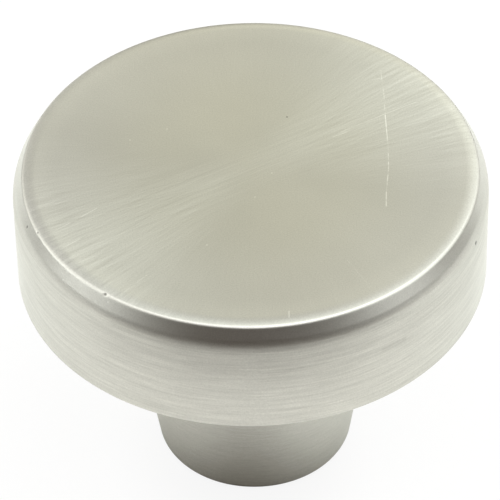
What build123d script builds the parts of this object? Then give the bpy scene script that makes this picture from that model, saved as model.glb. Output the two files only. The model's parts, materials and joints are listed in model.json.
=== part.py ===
"""Round cabinet knob: a disc head with a bevelled shoulder on a tapering stem, tapped for a screw from the foot."""

import os
from math import radians, tan

from build123d import *

# Overall sizes, in millimetres
head_diameter = 31.75
projection = 24.0

# Head: flat top, softened edge, bevelled shoulder and plain rim
head_height = 8.45
crown_width = 0.8
crown_drop = 0.13
shoulder_width = 0.69
shoulder_drop = 1.24
ridge_round = 0.35
shoulder_round = 2.0
rim_round = 0.12

# Stem: wider at the head than at the foot
foot_diameter = 13.3
stem_half_angle = 8.6
neck_round = 1.0
foot_round = 0.57

# Tapped hole: its wall stands at the tap drill's size
tap_drill_diameter = 3.45
tap_drill_depth = 12.0
tap_drill_point_angle = 118.0
mouth_diameter = 4.8
mouth_angle = 90.0

# Corners of the half section, worked out from the sizes above
head_radius = head_diameter / 2
foot_radius = foot_diameter / 2
underside_z = projection - head_height
neck_radius = foot_radius + underside_z * tan(radians(stem_half_angle))
ridge_radius = head_radius - shoulder_width
ridge_z = projection - crown_drop
shoulder_z = ridge_z - shoulder_drop
crown_radius = ridge_radius - crown_width

# The hole's radius, and the height of its drill point
tap_drill_radius = tap_drill_diameter / 2
point_height = tap_drill_radius / tan(radians(tap_drill_point_angle / 2))

os.makedirs("parts", exist_ok=True)

with BuildPart() as knob:
    # The half section, with its corners rounded, turned about the upright axis
    with BuildSketch(Plane.XZ) as section:
        with BuildLine():
            top = Line((0, projection), (crown_radius, projection))
            crown = TangentArc(top @ 1, (ridge_radius, ridge_z), tangent=top % 1)
            shoulder = Line(crown @ 1, (head_radius, shoulder_z))
            rim = Line(shoulder @ 1, (head_radius, underside_z))
            underside = Line(rim @ 1, (neck_radius, underside_z))
            stem = Line(underside @ 1, (foot_radius, 0))
            foot = Line(stem @ 1, (0, 0))
            Line(foot @ 1, top @ 0)
        make_face()
        for corner, radius in (
            ((ridge_radius, ridge_z), ridge_round),
            ((head_radius, shoulder_z), shoulder_round),
            ((head_radius, underside_z), rim_round),
            ((neck_radius, underside_z), neck_round),
            ((foot_radius, 0), foot_round),
        ):
            fillet(section.vertices().sort_by_distance(corner)[0], radius)
    revolve(axis=Axis.Z)

    # Blind tapped hole up from the foot, with a countersunk mouth and a drill point
    with Locations(Plane.XY.rotated((180, 0, 0))):
        CounterSinkHole(
            radius=tap_drill_radius,
            counter_sink_radius=mouth_diameter / 2,
            depth=tap_drill_depth,
            counter_sink_angle=mouth_angle,
        )
    with Locations((0, 0, tap_drill_depth)):
        Cone(
            bottom_radius=tap_drill_radius,
            top_radius=0,
            height=point_height,
            align=(Align.CENTER, Align.CENTER, Align.MIN),
            mode=Mode.SUBTRACT,
        )

knob.part.label = "knob"
export_step(knob.part, "parts/knob.step")
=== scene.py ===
import json
from math import cos, pi, radians, sin, tau
from types import SimpleNamespace

import bmesh
import bpy
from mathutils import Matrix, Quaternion, Vector


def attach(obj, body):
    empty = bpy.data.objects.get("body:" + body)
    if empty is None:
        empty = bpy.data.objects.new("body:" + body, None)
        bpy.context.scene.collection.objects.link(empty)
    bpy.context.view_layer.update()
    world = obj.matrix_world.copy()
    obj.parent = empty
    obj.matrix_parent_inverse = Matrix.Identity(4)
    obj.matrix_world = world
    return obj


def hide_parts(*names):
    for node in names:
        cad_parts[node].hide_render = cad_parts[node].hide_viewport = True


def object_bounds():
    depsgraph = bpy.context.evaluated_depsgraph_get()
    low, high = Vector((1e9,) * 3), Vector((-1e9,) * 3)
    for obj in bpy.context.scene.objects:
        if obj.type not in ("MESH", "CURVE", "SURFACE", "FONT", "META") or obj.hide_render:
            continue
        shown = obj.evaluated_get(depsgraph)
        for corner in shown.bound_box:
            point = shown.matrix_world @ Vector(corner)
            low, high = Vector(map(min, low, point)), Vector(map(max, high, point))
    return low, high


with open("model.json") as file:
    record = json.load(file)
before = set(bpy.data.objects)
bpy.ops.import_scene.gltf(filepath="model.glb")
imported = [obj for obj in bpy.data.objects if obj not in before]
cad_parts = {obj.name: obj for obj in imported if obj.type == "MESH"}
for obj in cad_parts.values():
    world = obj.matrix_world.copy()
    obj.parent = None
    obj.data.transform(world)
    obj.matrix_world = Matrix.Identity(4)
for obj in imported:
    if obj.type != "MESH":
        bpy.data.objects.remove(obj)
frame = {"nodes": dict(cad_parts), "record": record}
cad_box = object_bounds()

# Units, names and directions
MM = 0.001
NODE = "knob"
TINY = 1e-7
UP = (0, 0, 1)
LEVEL = (1, 1, 0)

# Steps of the turned mesh, with extra rows near the ends of each run and along the short ones
STEPS_ROUND = 960
STEPS_ROUND_BORE = 96
SUPPORT = 0.05 * MM
LEAST_RUN, SHORT_RUN = 8 * SUPPORT, 20 * SUPPORT
WALL_GAP = SUPPORT / 4
LEAST_BEND = radians(0.5)
SHARP_BEND = radians(30)

# Zones of the finish: how far a strip faces up, and shares of the knob's height and radius
TOP_FACING = 0.75
SHOULDER_FACING = 0.2
UNDER_FACING = -0.75
HEAD_SHARE = 0.8
RIM_SHARE = 0.96

# Thread in the foot: 32 turns to the inch, cut outward from the tap drill's wall
THREAD_PITCH = 25.4 / 32 * MM
THREAD_DEPTH = 0.33 * MM
THREAD_FLAT = 1.15
THREAD_LEAD_IN = 0.4 * THREAD_PITCH
THREAD_RUN_OUT = 1.1 * MM
ROWS_PER_TURN = 12

# Camera, at the photograph's angle, in metres and degrees
CAMERA_DISTANCE = 0.26876
CAMERA_ELEVATION = 42.894
CAMERA_AIM = Vector((-0.000135, 0.0, 0.016482))
CAMERA_ROLL = -1.134
CAMERA_LENS = 285.73
CAMERA_SENSOR = 36.0
CAMERA_CLIP = 0.01

# Pale sheet under the knob: its edges, painted shade darker towards the front, and a painted shadow patch in
# front of the foot
SHEET_LEFT, SHEET_RIGHT = -122 * MM, 135 * MM
SHEET_FRONT, SHEET_BACK = -54 * MM, 150 * MM
# Painted shade: the sheet is darker at the front than at the back, blended between two distances along it
SHEET_FRONT_COLOUR = (0.85, 0.835, 0.825)
SHEET_BACK_COLOUR = (0.95, 0.955, 0.95)
SHEET_SHADE_FADE = (-40.0, 15.0)
# Painted shadow: the colour, reach, centre and stretch of a dark patch round the foot, where the knob's shade
# falls
SHEET_SHADOW_COLOUR = (0.225, 0.205, 0.18)
SHEET_SHADOW_REACH = (1.5, 14.0)
SHEET_SHADOW_CENTRE = (-0.6, -3.0, 0.0)
SHEET_SHADOW_STRETCH = (1.4, 1.0, 0.0)
SHEET_SHADE_SEEN = 0.1
SHEET_FIBRES = (2.0, 4.0, 0.6)
SHEET_FIBRE_SHADE = 0.04
SHEET_ROUGHNESS = 0.9

# Studio light: the room's level, then soft panels as azimuth, elevation, width in degrees and colour
WHITE = (1, 1, 1)
ROOM = (0.033, 0.014, 0.002)
PANELS = (
    (279, 60, 13.6, (2.42, 2.43, 2.50)),
    (4, 57, 20.2, (2.90, 3.05, 2.90)),
    (188, 55, 17.7, (2.15, 2.20, 2.10)),
    (83, 28, 13.0, (1.10, 1.10, 0.84)),
    (45, 0, 23.0, (1.69, 1.71, 1.62)),
    (182, 0, 20.9, (2.10, 2.18, 2.12)),
    (341, 18, 16.2, (1.34, 1.38, 1.36)),
    (142, 13, 20.9, (1.28, 1.29, 1.22)),
)

# Plated metal, with cells to the millimetre and shade of its cloud and grain
NICKEL = (0.566, 0.558, 0.523)
NICKEL_SCRAPED = (0.90, 0.89, 0.86)
DARKENED_COLOUR = (0.05, 0.045, 0.04)
CLOUD_CELLS, CLOUD_SHADE = 0.35, 0.06
GRAIN_CELLS, GRAIN_SHADE = 11.0, 0.3

# Finish of the top, where a ramp is two distances from the axis in millimetres and the values at them
TOP_ROUGHNESS = (5.0, 14.5, 0.29, 0.445)
# The top's colour is made up to 6% lighter towards its edge, from 12.6 to 14.4 mm from the axis
TOP_EDGE_LIGHTENING = (12.6, 14.4, 0.0, 0.06)
TOP_LEAST_ROUGHNESS = 0.28
TOP_ANISOTROPY = 0.82

# Finish of the shoulder, rim and stem, where a ramp is two heights in millimetres and the values at them
SHOULDER_ROUGHNESS = (22.4, 23.2, 0.5, 0.34)
SHOULDER_GRAINS = 14.0
SHOULDER_DEPTH = 0.005 * MM
RIM_ROUGHNESS = (17.0, 22.6, 0.29, 0.43)
RIM_ANISOTROPY = 0.72
STEM_ROUGHNESS = 0.26
STEM_ANISOTROPY = 0.3

# Brush strokes on the top: the ways they run, their size, their main way and what they do to the finish
STROKE_WAYS = 18
STROKE_SIZE = (10.0 * MM, 0.14 * MM, 1.0)
STROKE_LAYER_GAP = 10
STROKE_MAIN_WAY = radians(30)
STROKE_DEEPEST = -0.3
STROKE_ROUGHNESS = 0.15
# The strokes' shade in the colour is brush pattern and partly painted glint, strongest along the main way
# where strokes catch the light
STROKE_SHADE = 0.27
STROKE_DEPTH = 0.001 * MM

# How the strokes change outward, as ramps like the top's
STROKE_FAN = (0.5, 12.0, 0.0, 10.0)
STROKE_OTHER_WAYS = (4.0, 10.0, 0.0, 0.15)
STROKE_MAIN_POWER = (2.0, 8.0, 80.0, 14.0)
STROKE_LEAN = (2.5, 11.0, 0.0, 3.2)
CENTRE_SCATTER = (0.5, 4.5, 6.0, 0.0)
CENTRE_GRAINS = 400.0

# Brush lines round the rim and the stem: cells round the knob and to the millimetre up, shade and depth
LINE_CELLS_ROUND, LINE_CELLS_UP = 4.0, 6.0
LINE_ROUGHNESS = 0.6
RIM_SHADE = 0.48
RIM_DEPTH = 0.014 * MM
STEM_SHADE = 0.25
STEM_DEPTH = 0.006 * MM

# Wear on the top, in millimetres from the axis: scratches as points, half width and strength, then specks
SCRATCHES = (
    (((9.01, 9.69), (9.14, 7.07), (9.15, 5.01)), 0.05, 0.4),
    (((9.15, 5.01), (9.22, 1.95), (9.17, -0.36), (8.93, -2.73), (8.87, -4.1)), 0.06, 0.8),
    (((6.12, 3.36), (9.21, 5.16), (11.28, 6.28)), 0.045, 0.35),
    (((-13.06, -6.05), (-10.15, -3.78)), 0.05, 0.45),
    (((-12.43, -7.67), (-11.2, -6.7)), 0.05, 0.35),
    (((-8.27, -11.83), (-6.81, -10.27)), 0.05, 0.3),
    (((6.14, -9.22), (7.35, -11.42)), 0.05, 0.25),
    (((5.57, 2.87), (6.52, 3.35)), 0.05, 0.4),
    (((8.39, 8.66), (8.94, 8.85)), 0.05, 0.4),
    (((2.29, -13.89), (2.28, -14.44)), 0.06, 0.7),
)
SCRATCH_BREAK_CELLS = 1.6
SCRATCH_BREAKS = (0.38, 0.6, 0.15, 1.0)
SCRATCH_RELIEF = 1.5
BRIGHT_SPECKS = ((-8.03, 2.96), (-5.55, 4.01), (1.42, -0.63), (0.26, -2.97), (-2.92, -7.53))
DARK_SPECK = (2.53, 5.0)
SPECK_SIZE = 0.075
SPECK_STRENGTH = 0.6
SPOT_CORE = 0.3

# Wear round the head, as azimuth in degrees, radius and height: dents with size and depth, specks and a scuff
DENTS = (
    ((231.3, 15.18, 23.84), 0.15, 0.05),
    ((202.7, 15.18, 23.86), 0.12, 0.04),
    ((197.8, 15.48, 23.34), 0.14, 0.03),
)
# Share by which the dents are made darker in colour
DENT_DARKENING = 0.7
SHOULDER_SPECKS = ((232.7, 15.38, 23.52), (218.1, 15.6, 23.1))
RIM_SPECK = (337.9, 15.875, 22.27)
RIM_SPECK_SIZE = 0.2
RIM_SCUFF = ((301.7, 15.875, 20.0), (304.9, 15.875, 20.05), (308.1, 15.875, 20.0))
RIM_SCUFF_WIDTH = 0.22
RIM_SCUFF_SOIL = 0.14


def put(tree, kind, inputs=(), **settings):
    """A node with its settings, and its inputs set or linked by name or number."""
    node = tree.nodes.new(kind)
    for name, value in settings.items():
        setattr(node, name, value)
    for key, value in dict(inputs).items():
        if isinstance(value, bpy.types.NodeSocket):
            tree.links.new(value, node.inputs[key])
        else:
            node.inputs[key].default_value = value
    return node


def maths(tree, operation, *values):
    return put(tree, "ShaderNodeMath", enumerate(values), operation=operation).outputs[0]


def vectors(tree, operation, *values):
    node = put(tree, "ShaderNodeVectorMath", enumerate(values), operation=operation)
    return node.outputs["Value" if operation in ("LENGTH", "DOT_PRODUCT", "DISTANCE") else "Vector"]


def scaled(tree, vector, factor):
    node = put(tree, "ShaderNodeVectorMath", {0: vector, "Scale": factor}, operation="SCALE")
    return node.outputs["Vector"]


def upright(tree, height):
    return put(tree, "ShaderNodeCombineXYZ", {"Z": height}).outputs[0]


def turned(tree, vector, angle):
    inputs = {"Vector": vector, "Angle": angle}
    return put(tree, "ShaderNodeVectorRotate", inputs, rotation_type="Z_AXIS").outputs[0]


def ramp(tree, value, low, high, to_low=0.0, to_high=1.0):
    """A soft step of the value between two limits."""
    inputs = {"Value": value, "From Min": low, "From Max": high, "To Min": to_low, "To Max": to_high}
    return put(tree, "ShaderNodeMapRange", inputs, interpolation_type="SMOOTHSTEP").outputs["Result"]


def noise(tree, vector, scale=1.0, detail=2.0, rough=0.5):
    inputs = {"Vector": vector, "Scale": scale, "Detail": detail, "Roughness": rough}
    return put(tree, "ShaderNodeTexNoise", inputs).outputs["Fac"]


def ripple(tree, *settings):
    """Noise that goes as far below zero as above it."""
    return maths(tree, "SUBTRACT", noise(tree, *settings), 0.5)


def blend(tree, share, first, second):
    """A colour between two others."""
    first, second = ((*c, 1) if isinstance(c, tuple) else c for c in (first, second))
    return put(tree, "ShaderNodeMix", {0: share, 6: first, 7: second}, data_type="RGBA").outputs[2]


def shaded(tree, colour, pattern, strength):
    """A colour made a little lighter or darker by a pattern."""
    level = maths(tree, "MULTIPLY_ADD", pattern, strength, 1.0)
    return scaled(tree, colour, level)


def joined(tree, mask, patch, strength):
    """A mask with one more patch on it."""
    return maths(tree, "MAXIMUM", mask, maths(tree, "MULTIPLY", patch, strength))


def relief(tree, shader, height, depth):
    bump = put(tree, "ShaderNodeBump", {"Height": height, "Distance": depth})
    tree.links.new(bump.outputs[0], shader.inputs["Normal"])


def placed(azimuth, radius, height):
    """A point from its azimuth, its distance from the axis and its height."""
    a = radians(azimuth)
    return Vector((radius * cos(a), radius * sin(a), height))


def dented(point):
    """A point of the mesh, pushed in where the head is dented."""
    moved = Vector(point)
    for where, size, depth in DENTS:
        share = 1 - (moved / MM - placed(*where)).length_squared / size ** 2
        if share > 0:
            outward = Vector((point[0], point[1], point[2] / 2)).normalized()
            moved -= outward * depth * share * MM
    return moved


def half_section(mesh):
    """The solid's half section as (radius, height), from the top's centre to the bore's end."""
    bm = bmesh.new()
    bm.from_mesh(mesh)
    bmesh.ops.remove_doubles(bm, verts=bm.verts, dist=TINY)
    for normal, clear in (((1, 0, 0), True), ((0, 1, 0), False)):
        everything = [*bm.verts, *bm.edges, *bm.faces]
        cut = bmesh.ops.bisect_plane(
            bm, geom=everything, plane_co=(0, 0, 0), plane_no=normal, dist=TINY, clear_inner=clear
        )
    edges = {e for e in cut["geom_cut"] if isinstance(e, bmesh.types.BMEdge)}
    ends = {v for e in edges for v in e.verts}
    here = max((v for v in ends if v.co.x < TINY), key=lambda v: v.co.z)
    outline = [Vector((here.co.x, here.co.z))]
    while step := next((e for e in here.link_edges if e in edges), None):
        edges.discard(step)
        here = step.other_vert(here)
        outline.append(Vector((max(here.co.x, 0.0), here.co.z)))
    bm.free()
    bends = [b for a, b, c in zip(outline, outline[1:], outline[2:]) if (b - a).angle(c - b) > LEAST_BEND]
    return [outline[0], *bends, outline[-1]]


def thread_reach(height, share, low, high):
    """How far the thread is cut outward at a height and a share of a turn."""
    phase = (height / THREAD_PITCH - share) % 1.0
    fade = max(0.0, min(1.0, (height - low) / THREAD_LEAD_IN, (high - height) / THREAD_RUN_OUT))
    return THREAD_DEPTH * fade * min(1.0, THREAD_FLAT * (1 - abs(2 * phase - 1)))


def build_rows(outline, bore_radius):
    """Rows of the turned mesh, and the heights of the bore's wall."""
    rows = [outline[0]]
    for start, end in zip(outline, outline[1:]):
        run = (end - start).length
        if abs(start.x - bore_radius) < WALL_GAP and abs(end.x - bore_radius) < WALL_GAP:
            wall = sorted((start.y, end.y))
            count = int(run / THREAD_PITCH * ROWS_PER_TURN)
            rows += [start.lerp(end, i / count) for i in range(1, count)]
        elif run > LEAST_RUN:
            between = round(run / (2 * SUPPORT)) if run < SHORT_RUN else 1
            shares = [SUPPORT / run, *(i / between for i in range(1, between)), 1 - SUPPORT / run]
            rows += [start.lerp(end, share) for share in shares]
        rows.append(end)
    return rows, wall


def zone_of(a, b):
    """The number of the material on the strip between two rows: top, shoulder, rim or stem."""
    middle = (a + b) / 2
    facing = (b.x - a.x) / (b - a).length
    high = middle.y > HEAD_SHARE * cad_box[1].z
    if high and facing > TOP_FACING:
        return 0
    if (high and facing > SHOULDER_FACING) or facing < UNDER_FACING:
        return 1
    if middle.x > RIM_SHARE * cad_box[1].x:
        return 2
    return 3


def build_knob():
    """The knob as one closed mesh turned from the CAD's own section, with its thread."""
    bore_radius = frame["record"]["mounts"][0]["dims"]["r_mm"] * MM
    rows, wall = build_rows(half_section(frame["nodes"][NODE].data), bore_radius)
    mouth = next(i for i, p in enumerate(rows) if p.y < TINY and p.x < 2 * bore_radius)
    points, rings = [], []
    for i, (r, z) in enumerate(rows):
        steps = 1 if r < TINY else STEPS_ROUND if i < mouth else STEPS_ROUND_BORE
        rings.append(range(len(points), len(points) + steps))
        in_wall = abs(r - bore_radius) < WALL_GAP and wall[0] < z < wall[1]
        for j in range(steps):
            share = j / steps
            reach = r + thread_reach(z, share, *wall) if in_wall else r
            points.append(dented((reach * cos(tau * share), reach * sin(tau * share), z)))
    faces, zones = [], []
    for i, (a, b) in enumerate(zip(rings, rings[1:])):
        strip = []
        few = min(len(a), len(b)) if 1 not in (len(a), len(b)) else max(len(a), len(b))
        for j in range(few):
            corners_a = [a[(j * len(a) // few + k) % len(a)] for k in range(len(a) // few, -1, -1)]
            corners_b = [b[(j * len(b) // few + k) % len(b)] for k in range(len(b) // few + 1)]
            strip.append(list(dict.fromkeys(corners_a + corners_b)))
        faces += strip
        zones += [zone_of(rows[i], rows[i + 1])] * len(strip)
    mesh = bpy.data.meshes.new("knob_dressed")
    mesh.from_pydata(points, [], faces)
    mesh.polygons.foreach_set("material_index", zones)
    mesh.polygons.foreach_set("use_smooth", [True] * len(faces))
    mesh.set_sharp_from_angle(angle=SHARP_BEND)
    return mesh


def nickel(name, anisotropy):
    """A nickel-plated material, and its tree and shader."""
    material = bpy.data.materials.new(name)
    material.use_nodes = True
    tree = material.node_tree
    shader = tree.nodes["Principled BSDF"]
    shader.inputs["Metallic"].default_value = 1.0
    shader.inputs["Anisotropic"].default_value = anisotropy
    return material, tree, shader


def millimetres(tree):
    """The place on the knob in millimetres, with its distance and heading from the axis and its height."""
    place = scaled(tree, put(tree, "ShaderNodeTexCoord").outputs["Object"], 1 / MM)
    flat = vectors(tree, "MULTIPLY", place, LEVEL)
    return SimpleNamespace(
        place=place,
        flat=flat,
        radius=vectors(tree, "LENGTH", flat),
        heading=vectors(tree, "NORMALIZE", flat),
        height=put(tree, "ShaderNodeSeparateXYZ", {0: place}).outputs["Z"],
    )


def scratch(tree, place, points, width):
    """A mask along a line of points."""
    near = None
    for start, end in zip(points, points[1:]):
        run = end - start
        here = vectors(tree, "SUBTRACT", place, start)
        share = vectors(tree, "DOT_PRODUCT", here, run / run.length_squared)
        share = put(tree, "ShaderNodeClamp", {"Value": share}).outputs[0]
        gap = vectors(tree, "DISTANCE", here, scaled(tree, run, share))
        near = gap if near is None else maths(tree, "MINIMUM", near, gap)
    return ramp(tree, near, 0.0, width, 1.0, 0.0)


def spot(tree, place, centre, size):
    """A mask over a small round spot."""
    return ramp(tree, vectors(tree, "DISTANCE", place, centre), SPOT_CORE * size, size, 1.0, 0.0)


def dent_darkening(tree, place):
    """A mask over the dents, where the colour is made darker."""
    darkened = 0.0
    for where, size, _ in DENTS:
        darkened = joined(tree, darkened, spot(tree, place, placed(*where), size), DENT_DARKENING)
    return darkened


def clouded(tree, place):
    """The plating's colour, with a faint cloud and a fine grain."""
    colour = shaded(tree, NICKEL, ripple(tree, place, CLOUD_CELLS), CLOUD_SHADE)
    return shaded(tree, colour, ripple(tree, place, GRAIN_CELLS, 1.0), GRAIN_SHADE)


def strokes(tree, radius, heading):
    """Brush strokes that fan out from the centre, and how far they turn the finish from the radius."""
    origin = put(tree, "ShaderNodeTexCoord").outputs["Object"]
    fan = ramp(tree, radius, *STROKE_FAN)
    other_ways = ramp(tree, radius, *STROKE_OTHER_WAYS)
    main_power = ramp(tree, radius, *STROKE_MAIN_POWER)
    lines, lean = 0.0, 0.0
    for i in range(STROKE_WAYS):
        angle = pi * i / STROKE_WAYS
        layer = (0, 0, STROKE_LAYER_GAP * i)
        inputs = {"Vector": origin, "Location": layer, "Rotation": (0, 0, angle), "Scale": STROKE_SIZE}
        where = put(tree, "ShaderNodeMapping", inputs, vector_type="TEXTURE").outputs[0]
        along = vectors(tree, "DOT_PRODUCT", heading, (cos(angle), sin(angle), 0))
        share = maths(tree, "POWER", maths(tree, "MULTIPLY", along, along), fan)
        weight = maths(tree, "POWER", abs(cos(angle - STROKE_MAIN_WAY)), main_power)
        weight = maths(tree, "ADD", weight, other_ways)
        stroke = maths(tree, "MULTIPLY", ripple(tree, where), weight)
        stroke = maths(tree, "MULTIPLY", stroke, share)
        lines = maths(tree, "ADD", lines, stroke)
        aside = vectors(tree, "DOT_PRODUCT", heading, (-sin(angle), cos(angle), 0))
        aside = maths(tree, "MULTIPLY", along, aside)
        lean = maths(tree, "SUBTRACT", lean, maths(tree, "MULTIPLY", stroke, aside))
    lines = maths(tree, "MAXIMUM", lines, STROKE_DEEPEST)
    return lines, maths(tree, "MULTIPLY", lean, ramp(tree, radius, *STROKE_LEAN))


def top_material():
    """Strokes that fan out from the centre, with scratches and specks."""
    material, tree, shader = nickel("nickel_top", TOP_ANISOTROPY)
    at = millimetres(tree)
    lines, lean = strokes(tree, at.radius, at.heading)
    rough = maths(tree, "MULTIPLY_ADD", lines, STROKE_ROUGHNESS, ramp(tree, at.radius, *TOP_ROUGHNESS))
    rough = maths(tree, "MAXIMUM", rough, TOP_LEAST_ROUGHNESS)
    tree.links.new(rough, shader.inputs["Roughness"])
    around = vectors(tree, "CROSS_PRODUCT", UP, at.heading)
    scatter = ripple(tree, at.place, CENTRE_GRAINS, 0.0)
    scatter = maths(tree, "MULTIPLY", scatter, ramp(tree, at.radius, *CENTRE_SCATTER))
    lean = maths(tree, "ADD", lean, scatter)
    tree.links.new(turned(tree, around, lean), shader.inputs["Tangent"])
    breaks = ramp(tree, noise(tree, at.place, SCRATCH_BREAK_CELLS), *SCRATCH_BREAKS)
    worn = 0.0
    for points, width, strength in SCRATCHES:
        points = [Vector((*point, 0)) for point in points]
        worn = joined(tree, worn, scratch(tree, at.flat, points, width), strength)
    worn = maths(tree, "MULTIPLY", worn, breaks)
    for centre in BRIGHT_SPECKS:
        worn = joined(tree, worn, spot(tree, at.flat, (*centre, 0), SPECK_SIZE), SPECK_STRENGTH)
    darkened = spot(tree, at.flat, (*DARK_SPECK, 0), SPECK_SIZE)
    # The dents are made darker in colour as well
    darkened = maths(tree, "MAXIMUM", darkened, dent_darkening(tree, at.place))
    # Stroke shade: brush pattern and partly painted glint, strongest where strokes run along the main way and
    # catch the light
    colour = shaded(tree, clouded(tree, at.place), lines, STROKE_SHADE)
    # The colour is made lighter towards the top's edge
    colour = shaded(tree, colour, ramp(tree, at.radius, *TOP_EDGE_LIGHTENING), 1.0)
    colour = blend(tree, worn, colour, NICKEL_SCRAPED)
    tree.links.new(blend(tree, darkened, colour, DARKENED_COLOUR), shader.inputs["Base Color"])
    height = maths(tree, "SUBTRACT", lines, maths(tree, "MULTIPLY", worn, SCRATCH_RELIEF))
    relief(tree, shader, height, STROKE_DEPTH)
    return material


def shoulder_material():
    """A satin grain on the shoulder and the flat faces underneath."""
    material, tree, shader = nickel("nickel_shoulder", 0.0)
    at = millimetres(tree)
    tree.links.new(ramp(tree, at.height, *SHOULDER_ROUGHNESS), shader.inputs["Roughness"])
    # The dents on the shoulder are made darker in colour
    colour = blend(tree, dent_darkening(tree, at.place), clouded(tree, at.place), DARKENED_COLOUR)
    for where in SHOULDER_SPECKS:
        speck = maths(tree, "MULTIPLY", spot(tree, at.place, placed(*where), SPECK_SIZE), SPECK_STRENGTH)
        colour = blend(tree, speck, colour, NICKEL_SCRAPED)
    tree.links.new(colour, shader.inputs["Base Color"])
    relief(tree, shader, noise(tree, at.place, SHOULDER_GRAINS, 1.0), SHOULDER_DEPTH)
    return material


def ringed(tree, shader, at, shade, depth):
    """Brush lines that run round the axis, as shade and relief."""
    tree.links.new(upright(tree, 1.0), shader.inputs["Tangent"])
    up = upright(tree, maths(tree, "MULTIPLY", at.height, LINE_CELLS_UP))
    where = vectors(tree, "ADD", scaled(tree, at.heading, LINE_CELLS_ROUND), up)
    lines = ripple(tree, where, 1.0, 2.0, LINE_ROUGHNESS)
    relief(tree, shader, lines, depth)
    return shaded(tree, clouded(tree, at.place), lines, shade)


def rim_material():
    """Lines round the rim, brushed wider towards the shoulder."""
    material, tree, shader = nickel("nickel_rim", RIM_ANISOTROPY)
    at = millimetres(tree)
    colour = ringed(tree, shader, at, RIM_SHADE, RIM_DEPTH)
    tree.links.new(ramp(tree, at.height, *RIM_ROUGHNESS), shader.inputs["Roughness"])
    scuff = scratch(tree, at.place, [placed(*point) for point in RIM_SCUFF], RIM_SCUFF_WIDTH)
    speck = spot(tree, at.place, placed(*RIM_SPECK), RIM_SPECK_SIZE)
    darkened = joined(tree, speck, scuff, RIM_SCUFF_SOIL)
    tree.links.new(blend(tree, darkened, colour, DARKENED_COLOUR), shader.inputs["Base Color"])
    return material


def stem_material():
    """Faint lines round the stem and the hole."""
    material, tree, shader = nickel("nickel_stem", STEM_ANISOTROPY)
    shader.inputs["Roughness"].default_value = STEM_ROUGHNESS
    colour = ringed(tree, shader, millimetres(tree), STEM_SHADE, STEM_DEPTH)
    tree.links.new(colour, shader.inputs["Base Color"])
    return material


def add_floor():
    """A pale sheet, whose shade is lightened for the camera because the photograph's ground is cut out."""
    mesh = bpy.data.meshes.new("floor")
    sides = ((SHEET_LEFT, SHEET_RIGHT), (SHEET_RIGHT, SHEET_LEFT))
    corners = [(x, y, 0) for y, row in zip((SHEET_FRONT, SHEET_BACK), sides) for x in row]
    mesh.from_pydata(corners, [], [(0, 1, 2, 3)])
    floor = bpy.data.objects.new("floor", mesh)
    bpy.context.scene.collection.objects.link(floor)
    material = bpy.data.materials.new("pale_sheet")
    material.use_nodes = True
    tree = material.node_tree
    shader = tree.nodes["Principled BSDF"]
    place = scaled(tree, put(tree, "ShaderNodeTexCoord").outputs["Object"], 1 / MM)
    along = put(tree, "ShaderNodeSeparateXYZ", {0: place}).outputs["Y"]
    # Painted shade: the sheet is drawn darker towards the front
    colour = blend(tree, ramp(tree, along, *SHEET_SHADE_FADE), SHEET_FRONT_COLOUR, SHEET_BACK_COLOUR)
    colour = shaded(tree, colour, ripple(tree, place, *SHEET_FIBRES), SHEET_FIBRE_SHADE)
    # Painted shadow: a dark patch round the foot, where the knob's shade falls on the sheet
    aside = vectors(tree, "SUBTRACT", place, SHEET_SHADOW_CENTRE)
    aside = vectors(tree, "MULTIPLY", aside, SHEET_SHADOW_STRETCH)
    patch = ramp(tree, vectors(tree, "LENGTH", aside), *SHEET_SHADOW_REACH)
    tree.links.new(blend(tree, patch, SHEET_SHADOW_COLOUR, colour), shader.inputs["Base Color"])
    shader.inputs["Roughness"].default_value = SHEET_ROUGHNESS
    glow = put(tree, "ShaderNodeEmission", {"Color": (*WHITE, 1), "Strength": 1.0})
    seen = put(tree, "ShaderNodeLightPath").outputs["Is Camera Ray"]
    lift = maths(tree, "MULTIPLY", seen, 1 - SHEET_SHADE_SEEN)
    mixed = put(tree, "ShaderNodeMixShader", {0: lift, 1: shader.outputs[0], 2: glow.outputs[0]})
    tree.links.new(mixed.outputs[0], tree.nodes["Material Output"].inputs["Surface"])
    mesh.materials.append(material)


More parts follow.
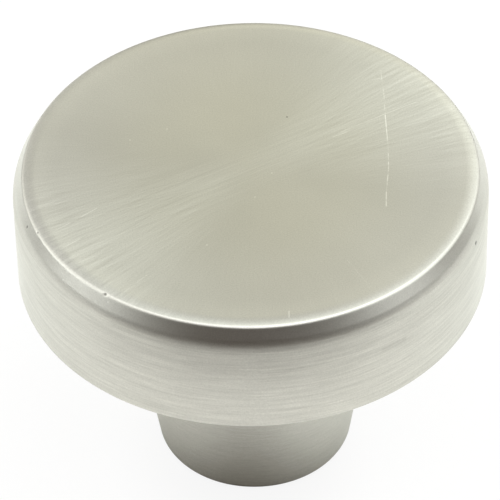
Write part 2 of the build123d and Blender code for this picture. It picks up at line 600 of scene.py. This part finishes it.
def add_world():
    """A plain studio: soft panels round a dim room, and a white ground for the camera."""
    world = bpy.data.worlds.new("studio")
    bpy.context.scene.world = world
    world.use_nodes = True
    tree = world.node_tree
    tree.nodes.clear()
    way = put(tree, "ShaderNodeTexCoord").outputs["Generated"]
    light = (0, 0, 0)
    for azimuth, elevation, width, colour in PANELS:
        a, e = radians(azimuth), radians(elevation)
        facing = vectors(tree, "DOT_PRODUCT", way, (cos(a) * cos(e), sin(a) * cos(e), sin(e)))
        fall = maths(tree, "DIVIDE", maths(tree, "SUBTRACT", facing, 1.0), 2 * (1 - cos(radians(width))))
        light = vectors(tree, "ADD", light, scaled(tree, colour, maths(tree, "EXPONENT", fall)))
    rise = put(tree, "ShaderNodeSeparateXYZ", {0: way}).outputs["Z"]
    light = scaled(tree, light, maths(tree, "GREATER_THAN", rise, 0.0))
    light = vectors(tree, "ADD", light, ROOM)
    seen = put(tree, "ShaderNodeLightPath").outputs["Is Camera Ray"]
    sky = blend(tree, seen, light, WHITE)
    shader = put(tree, "ShaderNodeBackground", {"Color": sky, "Strength": 1.0})
    put(tree, "ShaderNodeOutputWorld", {"Surface": shader.outputs[0]})


def add_camera():
    """A camera in front of the knob that looks down on it."""
    data = bpy.data.cameras.new("camera")
    data.lens = CAMERA_LENS
    data.sensor_width = CAMERA_SENSOR
    data.clip_start = CAMERA_CLIP
    camera = bpy.data.objects.new("camera", data)
    bpy.context.scene.collection.objects.link(camera)
    rise = radians(CAMERA_ELEVATION)
    back = Vector((-CAMERA_AIM.x, -cos(rise) * CAMERA_DISTANCE, sin(rise) * CAMERA_DISTANCE))
    camera.location = CAMERA_AIM + back
    camera.rotation_mode = "QUATERNION"
    look = (-back).to_track_quat("-Z", "Y")
    camera.rotation_quaternion = look @ Quaternion(UP, radians(CAMERA_ROLL))
    bpy.context.scene.camera = camera


# The dressed knob, its floor, light and camera
mesh = build_knob()
for material in (top_material(), shoulder_material(), rim_material(), stem_material()):
    mesh.materials.append(material)
knob = bpy.data.objects.new("knob_dressed", mesh)
bpy.context.scene.collection.objects.link(knob)
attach(knob, "root")
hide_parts(NODE)
add_floor()
add_world()
add_camera()
bpy.context.scene.view_settings.view_transform = "Standard"
